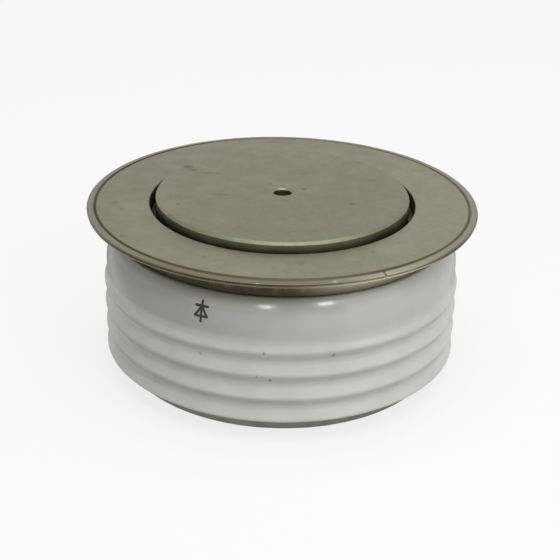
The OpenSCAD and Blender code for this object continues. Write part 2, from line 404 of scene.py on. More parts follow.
def lathe(name, path, angles=None, offset=None):
    """Mesh of a path (radius, height) carried round the Z axis: x = r cos a, y = r sin a, z = height.
    offset(angle, r, z) may move the points of each ring. The path runs anticlockwise with the radius to
    the right and the height up, so that the faces look outward. Ends on the axis become single points."""
    if angles is None:
        angles = np.arange(AROUND) * 2 * np.pi / AROUND
    open_ends = path[0, 0] < ON_AXIS
    rings = path[1:-1] if open_ends else path
    angle, r, z = angles[:, None], rings[None, :, 0], rings[None, :, 1]
    if offset is not None:
        more_r, more_z = offset(angle, r, z)
        r, z = r + more_r, z + more_z
    grid = np.stack(np.broadcast_arrays(r * np.cos(angle), r * np.sin(angle), z + 0 * angle), -1)
    turns, steps = len(angles), len(rings)
    index = np.arange(turns * steps).reshape(turns, steps)
    here = index if not open_ends else index[:, :-1]
    ahead = np.roll(index, -1, 1) if not open_ends else index[:, 1:]
    faces = np.stack([here, np.roll(here, -1, 0), np.roll(ahead, -1, 0), ahead], -1).reshape(-1, 4)
    points, triangles = grid.reshape(-1, 3), []
    if open_ends:
        first, last = turns * steps, turns * steps + 1
        points = np.vstack([points, [[0, 0, path[0, 1]], [0, 0, path[-1, 1]]]])
        start, end = index[:, 0], index[:, -1]
        triangles = [np.column_stack([np.full(turns, first), np.roll(start, -1), start]),
                     np.column_stack([np.full(turns, last), end, np.roll(end, -1)])]
    mesh = bpy.data.meshes.new(name)
    mesh.from_pydata(points * MM, [], faces.tolist() + [t for part in triangles for t in part.tolist()])
    mesh.validate()
    return mesh


# %% [markdown]
# The CAD model gives the outer sizes, and the record gives the locating holes. The rest are the
# thicknesses and steps of the pieces, the same as in the CAD source.

# %% Measure the CAD pieces
POLE_R = 24.4
POLE_BEVEL = 0.5
HOLE_R = 1.75
HOLE_DEPTH = 3
HOLE_BEVEL = 0.3
PAD_H = 1.2
LID_T = 0.5
LID_WALL_R = POLE_R + 1.15
SLOPE_W = 0.9
SLOPE_H = 0.15
GROOVE_IN = 1.55
GROOVE_W = 0.5
GROOVE_H = 0.25
SHEET_EDGE = 0.2
SHEET_BEND = 0.3
WELD_T = 0.5
LOWER_T = 0.6
LOWER_BEND = 0.8
BORE_R = 28.0
END_R = BORE_R + 4.0
CERAMIC_EDGE = 0.4

crest_r, ceramic_z, ceramic_top = reach("ceramic_ring")
rim_r, foot_z, lid_top = reach("lid")
weld_rim_r, neck_z, joint_z = reach("weld_ring")
lower_r, lower_z, lower_top = reach("anode_ring")
collar_r, _, anode_top = reach("anode_pole")
_, cathode_foot, cathode_face = reach("cathode_pole")
disc_r = reach("anode_disc")[0]
foil_r = reach("silver_foil")[0]
groove_r = rim_r - GROOVE_IN
print(f"rim radius {rim_r:.2f}, rib radius {crest_r:.2f}, total height {cathode_face:.2f} mm")

# %% [markdown]
# The poles and the sheet rings are nickel plated. The plate is dull: it went through tumbling and
# years of handling, so it is a metal with a broad highlight, cloudy in tone, with a few dark specks
# and short scratches where the photograph shows them. A metal in Blender takes its colour from what
# it mirrors, so the base colour is the grey olive that is seen, and a fine relief breaks it up.

# %% Marks on the metal
# Each mark: pixel, half length and half width in millimetres, turn in degrees, darkness
FACE_MARKS = [
    ((304, 189), 0.8, 0.45, 0, 0.45),
    ((304, 174), 1.2, 0.5, 20, 0.2),
    ((178, 204), 0.45, 0.6, 0, 0.45),
    ((352.5, 204), 0.6, 0.7, 30, 0.4),
    ((373, 180), 0.9, 0.4, 0, 0.35),
    ((212, 173), 2.4, 0.9, -10, 0.2),
    ((222, 194.5), 3.2, 0.4, -6, 0.25),
    ((187, 166.5), 1.9, 1.1, -25, 0.35),
    ((194, 170), 0.9, 0.9, 0, 0.35),
]
LID_MARKS = [
    ((99.5, 188.5), 0.6, 1.0, -60, 0.4),
    ((105, 181), 0.6, 1.0, -50, 0.3),
    ((115, 203), 0.9, 1.4, 0, 0.2),
    ((122, 209), 0.7, 0.8, 0, 0.25),
    ((123, 236), 0.9, 0.7, 40, 0.3),
    ((204, 257), 0.5, 0.7, 0, 0.3),
    ((373, 252), 0.5, 0.6, 0, 0.3),
    ((302, 263), 1.4, 0.6, 70, 0.2),
    ((356, 262), 0.6, 0.5, 0, 0.2),
]


def marks(tree, place, found, height):
    """Mask of the marks on a level surface: each is a soft ellipse round its point, and the darkest wins."""
    mask = 0.0
    for pixel, long, wide, turn, darkness in found:
        one = spot(tree, place, seen_at(pixel, height), (long, wide, wide), np.radians(turn), darkness)
        mask = calc(tree, "MAXIMUM", one, mask)
    return mask


# %% Nickel plate
PLATE_OLIVE = (0.193, 0.187, 0.130, 1)
PLATE_WARM = (0.223, 0.202, 0.145, 1)
PLATE_GREEN = (0.185, 0.197, 0.136, 1)
# The two recess colours below are tarnish and painted shade, and the blacker one is painted shade on the
# left.
RECESS_TARNISH_SHADE = (0.080, 0.067, 0.026, 1)
RECESS_SHADE_BLACK = (0.040, 0.032, 0.010, 1)
SHADE_BLACK_X = (-23, -12)
RECESS_MIDDLE = 0.6
PLATE_RELIEF = 0.006


def plate_colour(tree, place, seed):
    """Clouds of a warmer and a greener tone over the olive grey, with a fine mottling on top."""
    warm = clouds(tree, place, grain=9, seed=seed, share=(0.48, 0.68), tone=(0, 0.8), detail=2)
    green = clouds(tree, place, grain=7, seed=seed + 3, share=(0.52, 0.72), tone=(0, 0.7), detail=2)
    colour = blend(tree, green, blend(tree, warm, PLATE_OLIVE, PLATE_WARM), PLATE_GREEN)
    mottle = clouds(tree, place, grain=1.1, seed=seed + 6, tone=(0.93, 1.06), detail=4, roughness=0.7)
    return shade(tree, colour, mottle)


def turned_grain(tree, place, pitch):
    """Faint rings left by facing on the lathe: noise that depends on the radius alone."""
    rings = add(tree, "TexNoise", {"W": radius_of(tree, place), "Scale": 1 / (pitch * MM), "Detail": 2.0},
                noise_dimensions="1D")
    return rings.outputs["Fac"]


def tint_near_ring(tree, place, colour, ring_r, ring_z, far, near, tint):
    """Colour with a tint near a thin ring, full within the near distance and gone past the far one, both
    in millimetres. The tints are stains, painted shade and painted light."""
    share = grade(tree, from_ring(tree, place, ring_r, ring_z), far * MM, near * MM)
    return blend(tree, share, colour, tint)


def recess_tarnish_and_shade(tree, place, colour):
    """Tarnish and painted shade that deepen down the recess round the cathode, with painted shade that makes
    it blacker on the left.
    """
    tarnish_and_shade = blend(tree, axis_step(tree, place, "X", SHADE_BLACK_X), RECESS_SHADE_BLACK, RECESS_TARNISH_SHADE)
    ring_r, ring_z = POLE_R + RECESS_MIDDLE, foot_z + LID_T - RECESS_MIDDLE
    return tint_near_ring(tree, place, colour, ring_r, ring_z, far=3.9, near=1.2, tint=tarnish_and_shade)


def pole_plate():
    """Plate on the turned copper poles: faint facing rings, a matte grain, the contact face's marks, and
    tarnish with painted shade down the recess.
    """
    material, tree, place = new_finish("pole_plate")
    dark = marks(tree, place, FACE_MARKS, cathode_face)
    colour = shade(tree, plate_colour(tree, place, 1), calc(tree, "SUBTRACT", 1.0, dark))
    colour = recess_tarnish_and_shade(tree, place, colour)
    rings = calc(tree, "MULTIPLY", turned_grain(tree, place, pitch=0.35), 0.6)
    grain = calc(tree, "ADD", rings, noise(tree, place, grain=0.35, seed=4))
    gloss = clouds(tree, place, grain=5, seed=9, tone=(0.40, 0.50))
    surface(tree, Base_Color=colour, Metallic=1.0, Roughness=gloss, Normal=relief(tree, grain, PLATE_RELIEF))
    return material


# %% [markdown]
# The rings and the lid are thin sheet, plated like the poles. Painted light makes the lid and the
# weld ring lighter towards the front right. Where the rim was squeezed for the weld, the plate is
# thin: the strip outside the groove is brown at the front, and a painted highlight makes it creamier
# to the right. The groove is browner still and redder in some places, and painted shade makes it
# darkest on the left. Dirt has settled in the seam between the two sheets and where the neck meets
# the ceramic, and painted shade darkens that joint too; painted light makes both lighter at the front
# right. The neck is painted dark for the shade under the rim, with worn streaks that run up it, and
# painted light makes it brighter at the front right. The weld ring's edge has tarnish and painted
# shade, and painted highlights brighten the rim's edges at the front right. The rim's edge carries
# two painted glints, and dirt fills a small nick in it. Most of these follow rings about the axis, so
# each is a distance from such a ring. The lower ring is greyer, and darker in patches and towards its
# foot.

# %% Plated sheet
# The groove's two browns are painted shade on the left and painted light on the right. The rim's cream, the
# edge and weld brights, the seam's and neck's clean colours and the rubbed colour are painted light and
# painted highlights. The neck's brown and the joint's and weld's dark colours carry painted shade as well as
# dirt and tarnish.
GROOVE_SHADED = (0.060, 0.047, 0.028, 1)
GROOVE_LIT = (0.115, 0.098, 0.062, 1)
GROOVE_OLIVE = (0.068, 0.061, 0.038, 1)
GROOVE_RUST = (0.092, 0.063, 0.042, 1)
SEAM_DIRT = (0.066, 0.056, 0.035, 1)
SEAM_LIT = (0.200, 0.178, 0.128, 1)
RIM_BROWN = (0.190, 0.161, 0.113, 1)
RIM_HIGHLIGHT = (0.340, 0.318, 0.240, 1)
EDGE_TARNISH = (0.140, 0.124, 0.086, 1)
EDGE_HIGHLIGHT = (0.350, 0.328, 0.250, 1)
WELD_TARNISH_AND_SHADE = (0.190, 0.168, 0.118, 1)
WELD_HIGHLIGHT = (0.560, 0.520, 0.400, 1)
NECK_SHADE_BROWN = (0.052, 0.044, 0.026, 1)
NECK_WORN = (0.165, 0.150, 0.108, 1)
NECK_LIT = (0.430, 0.400, 0.300, 1)
JOINT_DIRT_AND_SHADE = (0.044, 0.037, 0.021, 1)
GLINT_COLOUR = (0.42, 0.41, 0.34, 1)
GLINT_PIXELS = [(257, 283), (335, 281)]
GLINT_SIZE = (0.5, 0.35, 0.35)
NICK_PIXEL = (390, 276)
NICK_IN = 0.4
NICK_DIRT_SIZE = (0.9, 0.2, 0.9)
LOWER_GREY = (0.203, 0.199, 0.180, 1)
LOWER_RELIEF = 0.008

nick_at = seen_at(NICK_PIXEL, lid_top)
nick_angle = np.arctan2(nick_at[1], nick_at[0])
nick_r = rim_r - NICK_IN
nick_middle = np.array([nick_r * np.cos(nick_angle), nick_r * np.sin(nick_angle), lid_top])

# Where each change of tone starts and ends along an axis, in millimetres: the painted shade, painted
# light and painted highlights of the rim, and where its stains lie. The last one, over the whole lid,
# goes along a direction of its own and is painted light.
FRONT_Y = (-20, -33)
GROOVE_SHADE_X = (-25, 25)
STRIP_HIGHLIGHT_X = (2, 19)
EDGE_HIGHLIGHT_X = (9, 20)
LIT_X = (0, 16)
LIT_END_X = (31, 23)
PAINTED_LIGHT_WAY = (0.6, -0.8, 0)
PAINTED_LIGHT_REACH = (-30, 32)


def rim_stains_and_light(tree, place, colour):
    """The sheet's colour with the stains that the weld and the dirt left, and painted shade and painted
    light along the rim. Each is listed with its ring's radius and height, the distances where it ends and
    where it is full, and its colour."""
    front = axis_step(tree, place, "Y", FRONT_Y)
    # Painted highlight on the rim's edge at the front right.
    edge_highlight_share = calc(tree, "MULTIPLY", axis_step(tree, place, "X", EDGE_HIGHLIGHT_X), front)
    # Painted light: the neck, the seam and the weld edge are lighter towards the front right.
    lit_end = axis_step(tree, place, "X", LIT_END_X, 0.2, 1)
    lit_right = calc(tree, "MULTIPLY", axis_step(tree, place, "X", LIT_X), lit_end)
    lit_edge = calc(tree, "MULTIPLY", lit_right, front)
    groove_shaded_brown = blend(tree, axis_step(tree, place, "X", GROOVE_SHADE_X), GROOVE_SHADED, GROOVE_LIT)
    rust = clouds(tree, place, grain=11, seed=33, share=(0.46, 0.6), detail=2)
    front_rust = calc(tree, "MULTIPLY", rust, front)
    groove = blend(tree, front_rust, blend(tree, front, groove_shaded_brown, GROOVE_OLIVE), GROOVE_RUST)
    # Painted highlight: the strip turns cream towards the right.
    strip_highlight_share = axis_step(tree, place, "X", STRIP_HIGHLIGHT_X)
    strip = blend(tree, front, colour, blend(tree, strip_highlight_share, RIM_BROWN, RIM_HIGHLIGHT))
    up_streaks = flattened(tree, place)
    streaks = clouds(tree, up_streaks, grain=2.2, seed=35, share=(0.45, 0.72), tone=(0, 0.75))
    neck = blend(tree, lit_right, blend(tree, streaks, NECK_SHADE_BROWN, NECK_WORN), NECK_LIT)
    groove_z = lid_top - GROOVE_H / 2
    weld_foot = joint_z - WELD_T
    # Among these, the strip's cream and the edges' brights are painted highlights, the neck's and seam's
    # clean colours are painted light, and the neck's brown, the joint's dirt and the weld edge's tarnish
    # carry painted shade.
    for ring_r, ring_z, far, near, tint in [
        (rim_r - 0.3, lid_top, 1.3, 0.8, strip),
        (groove_r, groove_z, 0.7, 0.3, blend(tree, front, colour, groove)),
        (groove_r, groove_z, 0.46, 0.18, groove),
        (rim_r, lid_top - SLOPE_H, 0.4, 0.1, blend(tree, edge_highlight_share, EDGE_TARNISH, EDGE_HIGHLIGHT)),
        (rim_r, weld_foot, 0.6, 0.25, blend(tree, lit_edge, WELD_TARNISH_AND_SHADE, WELD_HIGHLIGHT)),
        (rim_r, joint_z, 0.33, 0.14, blend(tree, lit_edge, SEAM_DIRT, SEAM_LIT)),
        (END_R, (neck_z + weld_foot) / 2, 3.0, 2.2, neck),
        (END_R, neck_z, 1.9, 0.5, blend(tree, lit_right, JOINT_DIRT_AND_SHADE, NECK_WORN)),
    ]:
        colour = tint_near_ring(tree, place, colour, ring_r, ring_z, far, near, tint)
    return colour


def sheet_plate():
    """Plate on the lid and the weld ring: the marks, painted light towards the front right, the rim's stains
    with their painted shade and highlights, two painted glints and the nick's dirt.
    """
    material, tree, place = new_finish("sheet_plate")
    dark = marks(tree, place, LID_MARKS, lid_top)
    # Painted light: the plate is lighter towards the front right.
    way = add(tree, "VectorMath", {0: place, 1: PAINTED_LIGHT_WAY}, operation="DOT_PRODUCT").outputs["Value"]
    painted_light = grade(tree, way, PAINTED_LIGHT_REACH[0] * MM, PAINTED_LIGHT_REACH[1] * MM, 0.97, 1.2)
    colour = shade(tree, plate_colour(tree, place, 21), calc(tree, "SUBTRACT", painted_light, dark))
    colour = rim_stains_and_light(tree, place, recess_tarnish_and_shade(tree, place, colour))
    # Two painted glints on the rim's edge.
    for pixel in GLINT_PIXELS:
        glint = spot(tree, place, seen_at(pixel, lid_top), GLINT_SIZE)
        colour = blend(tree, glint, colour, GLINT_COLOUR)
    dirt = spot(tree, place, nick_middle, NICK_DIRT_SIZE, nick_angle, darkness=0.8)
    colour = blend(tree, dirt, colour, SEAM_DIRT)
    gloss = clouds(tree, place, grain=4, seed=29, tone=(0.36, 0.48))
    grain = noise(tree, place, grain=0.5, seed=24)
    surface(tree, Base_Color=colour, Metallic=1.0, Roughness=gloss, Normal=relief(tree, grain, PLATE_RELIEF))
    return material


def lower_plate():
    """Plate on the lower ring: a dull grey, darker in patches and towards its foot."""
    material, tree, place = new_finish("lower_plate")
    patch = clouds(tree, place, grain=5, seed=37, share=(0.35, 0.7), tone=(1.08, 0.8), detail=4)
    foot = axis_step(tree, place, "Z", (lower_z, lower_top), 0.8, 1.05)
    colour = shade(tree, LOWER_GREY[:3], calc(tree, "MULTIPLY", patch, foot))
    gloss = clouds(tree, place, grain=3, seed=38, tone=(0.38, 0.52))
    grain = noise(tree, place, grain=0.5, seed=39)
    surface(tree, Base_Color=colour, Metallic=1.0, Roughness=gloss, Normal=relief(tree, grain, LOWER_RELIEF))
    return material


pole_finish = pole_plate()
sheet_finish = sheet_plate()
lower_finish = lower_plate()

# %% [markdown]
# The cathode pole is the raised disc on top: turned copper with a bevelled edge and a countersunk
# hole in the middle, which a pin in the heat sink locates. Its buried part is wider, and ends in a
# pad on the discs. The outline starts on the axis under the pad and ends on the axis in the hole.

# %% Cathode pole
hole_floor = cathode_face - HOLE_DEPTH
cathode_outline = outline([
    (0, cathode_foot, 0), (foil_r, cathode_foot, 0.2), (foil_r, cathode_foot + PAD_H, 0.1),
    (collar_r, cathode_foot + PAD_H, 0.2), (collar_r, foot_z, 0.1), (POLE_R, foot_z, 0.1),
    (POLE_R, cathode_face - POLE_BEVEL, 0.15), (POLE_R - POLE_BEVEL, cathode_face, 0.2),
    (HOLE_R + HOLE_BEVEL, cathode_face, 0.06), (HOLE_R, cathode_face - HOLE_BEVEL, 0.06),
    (HOLE_R, hole_floor, 0.1), (0, hole_floor, 0),
], closed=False)
cathode_mesh = lathe("cathode_contact", cathode_outline)
finish_piece("cathode_contact", cathode_mesh, "plated_copper", pole_finish, "cathode_pole")

# %% Anode pole
anode_collar_z = lower_z + LOWER_T
anode_outline = outline([
    (0, HOLE_DEPTH, 0), (HOLE_R, HOLE_DEPTH, 0.1), (HOLE_R, HOLE_BEVEL, 0.06),
    (HOLE_R + HOLE_BEVEL, 0, 0.06), (POLE_R - POLE_BEVEL, 0, 0.2), (POLE_R, POLE_BEVEL, 0.15),
    (POLE_R, anode_collar_z, 0.1), (collar_r, anode_collar_z, 0.1), (collar_r, anode_top - PAD_H, 0.2),
    (disc_r, anode_top - PAD_H, 0.1), (disc_r, anode_top, 0.2), (0, anode_top, 0),
], closed=False)
anode_mesh = lathe("anode_contact", anode_outline)
finish_piece("anode_contact", anode_mesh, "plated_copper", pole_finish, "anode_pole")

# %% [markdown]
# The lid is a flat ring round a recess. Its foot is brazed to the cathode pole, and its rim is
# squeezed against the weld ring, which leaves a groove and a slight slope to the edge. A squeezed rim
# is never perfectly even, so its radius and height wander by a few hundredths, always inward. A small
# nick runs from the groove over the edge at the front right. The angles are closer together there, to
# hold its shape.

# %% Lid
NICK_W = 0.24
NICK_DEPTH = 0.16
RIM_WANDER = 0.05
RIM_UNEVEN_W = 2.4
RIM_FADE = 0.8
TOP_FADE = 0.4
NICK_FADE = 0.2
NICK_POINTS = 25
WAVE_COUNTS = np.array([5, 11, 19, 37, 61])
WAVE_SHARES = np.array([0.3, 0.25, 0.2, 0.15, 0.1])
PHASE_SPREAD = 12.9898

even = np.arange(AROUND) * 2 * np.pi / AROUND
close = nick_angle + np.linspace(-1, 1, NICK_POINTS) * 3 * NICK_W / rim_r
rim_angles = np.unique(np.round(np.mod(np.r_[even, close], 2 * np.pi), 6))


def wander(angle, seed):
    """Slow and quick waves round the rim, from 0 to 1: 0.5 + 0.5 times the sum of share sin(count angle +
    phase), with counts that have no common factor, and phases spread by the seed."""
    phases = np.sin(np.arange(1, len(WAVE_COUNTS) + 1) * PHASE_SPREAD * seed) * np.pi
    waves = WAVE_SHARES * np.sin(np.asarray(angle)[..., None] * WAVE_COUNTS + phases)
    return 0.5 + 0.5 * waves.sum(-1)


def rim_offset(seed, size):
    """Offset that only touches the rim: inward by up to size, down by up to half of it, and further in
    the nick, which is exp(-(distance along the rim / NICK_W)^2) and starts past the groove."""
    def offset(angle, r, z):
        at_rim = np.clip((r - (rim_r - RIM_UNEVEN_W)) / RIM_FADE, 0, 1)
        on_top = np.clip((z - joint_z) / TOP_FADE, 0, 1)
        past_groove = np.clip((r - (groove_r + GROOVE_W / 2)) / NICK_FADE, 0, 1)
        turn = np.angle(np.exp(1j * (angle - nick_angle)))
        nick = NICK_DEPTH * np.exp(-(turn * rim_r / NICK_W) ** 2) * past_groove
        inward = at_rim * (size * wander(angle, seed) + nick)
        sunk = at_rim * on_top * (0.5 * size * wander(angle, seed + 3) + nick)
        return -inward, -sunk
    return offset


lid_outline = outline([
    (POLE_R, foot_z, 0), (LID_WALL_R + LID_T, foot_z, SHEET_BEND + LID_T),
    (LID_WALL_R + LID_T, joint_z, SHEET_BEND), (rim_r, joint_z, SHEET_EDGE),
    (rim_r, lid_top - SLOPE_H, SHEET_EDGE), (rim_r - SLOPE_W, lid_top, SHEET_EDGE),
    (groove_r + GROOVE_W / 2, lid_top, SHEET_EDGE), (groove_r, lid_top - GROOVE_H, 0.1),
    (groove_r - GROOVE_W / 2, lid_top, SHEET_EDGE), (LID_WALL_R, lid_top, SHEET_BEND),
    (LID_WALL_R, foot_z + LID_T, SHEET_BEND), (POLE_R, foot_z + LID_T, 0),
])
lid_mesh = lathe("pressed_lid", lid_outline, rim_angles, rim_offset(1, RIM_WANDER))
finish_piece("pressed_lid", lid_mesh, "plated_sheet", sheet_finish, "lid")

# %% [markdown]
# The weld ring carries the rim on the ceramic: a foot brazed to the ceramic's upper end, a neck, and
# a rim under the lid's. The lower ring does the same at the anode, with no rim. Both are one strip of
# thin sheet, bent, so their bends have an inner and an outer rounding that differ by the thickness.

# %% Weld ring and lower ring
neck_r = END_R - CERAMIC_EDGE
weld_outline = outline([
    (BORE_R + CERAMIC_EDGE, neck_z, 0), (neck_r, neck_z, SHEET_EDGE), (neck_r, joint_z - WELD_T, SHEET_BEND),
    (weld_rim_r, joint_z - WELD_T, SHEET_EDGE), (weld_rim_r, joint_z, SHEET_EDGE),
    (neck_r - WELD_T, joint_z, SHEET_BEND + WELD_T), (neck_r - WELD_T, neck_z + WELD_T, SHEET_BEND),
    (BORE_R + CERAMIC_EDGE, neck_z + WELD_T, SHEET_EDGE),
])
weld_mesh = lathe("weld_rim", weld_outline, rim_angles, rim_offset(4, RIM_WANDER))
finish_piece("weld_rim", weld_mesh, "plated_sheet", sheet_finish, "weld_ring")

lower_outline = outline([
    (POLE_R, lower_z, 0), (lower_r, lower_z, LOWER_BEND), (lower_r, lower_top, LOWER_BEND),
    (BORE_R + CERAMIC_EDGE, lower_top, 0), (BORE_R + CERAMIC_EDGE, lower_top - LOWER_T, SHEET_EDGE),
    (lower_r - LOWER_T, lower_top - LOWER_T, LOWER_BEND - LOWER_T),
    (lower_r - LOWER_T, lower_z + LOWER_T, LOWER_BEND - LOWER_T), (POLE_R, lower_z + LOWER_T, 0),
])
lower_mesh = lathe("lower_ring", lower_outline)
finish_piece("lower_ring", lower_mesh, "plated_sheet", lower_finish, "anode_ring")

# %% [markdown]
# The insulator is a ring of alumina with a thick glaze. The lower part has ribs, which make the path
# for creeping current longer. The upper part is plain and carries the print, and curves in to the
# neck. The glaze ran before it set, so the ribs are soft and slightly uneven: the outline's corners
# get generous roundings, and a slow wave shifts each rib by a few hundredths of a millimetre.

# %% Ceramic outline
RIB_COUNT = 4
RIB_DEPTH = 0.8
CREST_W = 0.4
FLOOR_W = 0.8
CREST_ROUND = 0.6
FLOOR_ROUND = 2.0
RIB_LEAN = 0.45
BAND_STEP = 0.5
BAND_H = 9.4
BAND_FOOT_H = 2.6
BAND_STEPS = 25
END_RIB_H = 0.6
BORE_CHAMFER = 0.1

floor_r = crest_r - RIB_DEPTH
band_r = crest_r - BAND_STEP
first_crest = ceramic_z + END_RIB_H
rib_pitch = (ceramic_top - ceramic_z - BAND_H - END_RIB_H) / (RIB_COUNT - 1)
upper_h = (rib_pitch - CREST_W - FLOOR_W) * (1 - RIB_LEAN)
top_crest = first_crest + (RIB_COUNT - 1) * rib_pitch
band_z = top_crest + CREST_W / 2 + upper_h * BAND_STEP / RIB_DEPTH
curve_z = band_z + BAND_FOOT_H
curve_rise = ceramic_top - curve_z
curve_in = band_r - END_R
curve_r = (curve_rise ** 2 + curve_in ** 2) / (2 * curve_in)
print(f"ribs every {rib_pitch:.2f} mm, plain band from {band_z:.2f} to {ceramic_top:.2f} mm")


def band_radius(height):
    """Radius of the plain band: straight at its foot, then an arc that meets the straight part smoothly,
    band_r - curve_r + sqrt(curve_r^2 - above^2)."""
    above = np.maximum(np.asarray(height, float) - curve_z, 0)
    return band_r - curve_r + np.sqrt(curve_r ** 2 - above ** 2)


ribs = []
for number in range(RIB_COUNT):
    crest_z = first_crest + number * rib_pitch
    ribs += [(crest_r, crest_z - CREST_W / 2, CREST_ROUND), (crest_r, crest_z + CREST_W / 2, CREST_ROUND)]
    if number < RIB_COUNT - 1:
        floor_z = crest_z + CREST_W / 2 + upper_h
        ribs += [(floor_r, floor_z, FLOOR_ROUND), (floor_r, floor_z + FLOOR_W, FLOOR_ROUND)]
ribbed = outline([(BORE_R, ceramic_z, 0.2), (floor_r, ceramic_z, CERAMIC_EDGE)] + ribs
                 + [(band_r, band_z, FLOOR_ROUND), (band_r, curve_z, 0)], closed=False, steps=8)
curve_heights = np.linspace(curve_z, ceramic_top, BAND_STEPS + 1)[1:]
curved = np.column_stack([band_radius(curve_heights), curve_heights])
bore = np.array([
    (END_R - BORE_CHAMFER, ceramic_top), (BORE_R + BORE_CHAMFER, ceramic_top),
    (BORE_R, ceramic_top - BORE_CHAMFER), (BORE_R, ceramic_z + BORE_CHAMFER),
])
ceramic_outline = np.vstack([ribbed, curved, bore])


# %% Ceramic surface
RIB_WAVE = 0.05
RIB_LIFT = 0.6 * RIB_WAVE
END_FADE = 1.2
BORE_FADE = 2


def glaze_offset(angle, r, z):
    """Slow unevenness of the glazed outside: inward by up to RIB_WAVE, and up and down by about RIB_LIFT.
    Both are sums or products of sines that lean as they climb, such as sin(3 angle + 0.55 z). They fade
    out towards both ends, where the metal rings are brazed on, and towards the bore."""
    outside = np.clip((r - BORE_R) / BORE_FADE, 0, 1)
    ends = np.clip((z - ceramic_z) / END_FADE, 0, 1) * np.clip((ceramic_top - z) / END_FADE, 0, 1)
    waves = 0.5 + 0.5 * np.sin(3 * angle + 0.55 * z) * np.cos(5 * angle - 0.4 * z + 1)
    lift = np.sin(2 * angle + 0.8 * z) + 0.6 * np.sin(7 * angle - 1.3 * z)
    return -RIB_WAVE * waves * outside * ends, RIB_LIFT * lift * outside * ends


# %% [markdown]
# Glazed alumina is a white body under a clear glassy coat. The body is faintly cloudy. Painted shade
# makes the plain band a little greyer, mostly on its left, and painted shade and painted reflection
# of the rim's underside darken the glaze near the joint with the metal, less so on the right. A few
# dark specks are dirt that was fired in. The coat is smooth seen from the front, but rougher at
# grazing angles: a perfect mirror there would outline both sides of the ring in the white of its
# surroundings, which real, handled glaze doesn't do. The ends and the bore are ground and bare, so the
# coat stops there and the body is chalky. A very shallow waviness makes the mirrored lamps break into
# dashes.

# %% Glazed ceramic
GLAZE_WHITE = (0.70, 0.70, 0.665, 1)
GLAZE_SHADE = (0.65, 0.65, 0.615, 1)
BARE_WHITE = (0.70, 0.69, 0.66, 1)
# The stained glaze colour and the spans along X below are painted shade: the band's greyer left, and the
# dark glaze under the rim, which also stands for its painted reflection.
GLAZE_RIM_SHADE = (0.37, 0.37, 0.300, 1)
BAND_MIDDLE = 23.6
BAND_SHADE_X = (-28, 14)
RIM_SHADE_X = (2, 14)
GLAZE_IOR = 1.52
GLAZE_MARGIN = 0.15
GLAZE_RELIEF = 0.02
GLAZE_ROUGH = 0.16
GLAZE_ROUGH_GRAZING = 0.6
GRAZING_FROM = 0.6
BARE_ROUGH = 0.75
SPECK_DEEP = 1.5
SPECK_TALL = 1.3
SPECK_DARK = (0.10, 0.095, 0.08, 1)
# Each speck: pixel, half width in millimetres, darkness
SPECKS = [
    ((264, 352.5), 0.34, 0.6),
    ((270, 380), 0.36, 0.65),
    ((199.5, 354), 0.34, 0.35),
    ((333.5, 355), 0.42, 0.7),
    ((257, 376), 0.28, 0.5),
]


def glazed_ceramic():
    """White body with cloudy tones, fired-in specks and painted shade on the band and under the rim, glossy
    outside and chalky on the bare ends.
    """
    material, tree, place = new_finish("glazed_ceramic")
    cloud = clouds(tree, place, grain=7, seed=41, share=(0.35, 0.7), detail=4)
    colour = blend(tree, cloud, GLAZE_WHITE, GLAZE_SHADE)
    for pixel, size, darkness in SPECKS:
        at = seen_on_wall(pixel, band_r)
        sizes = (SPECK_DEEP, size, SPECK_TALL * size)
        speck = spot(tree, place, at, sizes, np.arctan2(at[1], at[0]), darkness)
        colour = blend(tree, speck, colour, SPECK_DARK)
    # Painted shade: the plain band is greyer, more so on its left.
    band_shade = shade(tree, colour, axis_step(tree, place, "X", BAND_SHADE_X, 0.75, 0.93))
    colour = tint_near_ring(tree, place, colour, band_r, BAND_MIDDLE, far=3.2, near=2.0, tint=band_shade)
    # Painted shade and painted reflection of the rim's underside, near the joint, weaker on the right.
    rim_shade = blend(tree, axis_step(tree, place, "X", RIM_SHADE_X, 0, 0.4), GLAZE_RIM_SHADE, colour)
    colour = tint_near_ring(tree, place, colour, END_R, ceramic_top, far=3.4, near=0.2, tint=rim_shade)
    glazed = grade(tree, radius_of(tree, place), (BORE_R + CERAMIC_EDGE) * MM, (END_R + GLAZE_MARGIN) * MM)
    colour = blend(tree, glazed, BARE_WHITE, colour)
    facing_away = add(tree, "LayerWeight", {"Blend": 0.5}).outputs["Facing"]
    rough = grade(tree, facing_away, GRAZING_FROM, 1.0, GLAZE_ROUGH, GLAZE_ROUGH_GRAZING)
    gloss = add(tree, "Mix", {0: glazed, 2: BARE_ROUGH, 3: rough}, data_type="FLOAT").outputs[0]
    ripple = noise(tree, place, grain=3.5, seed=45, detail=2)
    waviness = relief(tree, ripple, GLAZE_RELIEF)
    surface(tree, Base_Color=colour, Roughness=gloss, IOR=GLAZE_IOR, Normal=waviness)
    return material


ceramic_finish = glazed_ceramic()
ceramic_mesh = lathe("glazed_ring", ceramic_outline, offset=glaze_offset)
finish_piece("glazed_ring", ceramic_mesh, "glazed_alumina", ceramic_finish, "ceramic_ring")

# %% [markdown]
# The diode's symbol is stamped on the plain band in black ink: a triangle that points at a bar, with
# a line through both. It shows which face is which. It could be painted by the ceramic's finish, but
# as a film of its own it keeps crisp edges from near. Each stroke is a strip on a grid of two
# parameters, along and across, wrapped on the band, and Solidify gives it a thickness.

# %% Printed symbol
SYMBOL_ANGLE = -113.8
SYMBOL_Z = 24.65
LINE_H = 3.6
BAR_W = 2.2
BAR_Z = 1.0
TRIANGLE_W = 2.35
TRIANGLE_FOOT = -0.78
STROKE_W = 0.44
INK_LIFT = 0.012
INK_T = 0.05
INK_BLACK = (0.012, 0.012, 0.014, 1)
INK_GREY = (0.10, 0.10, 0.10, 1)


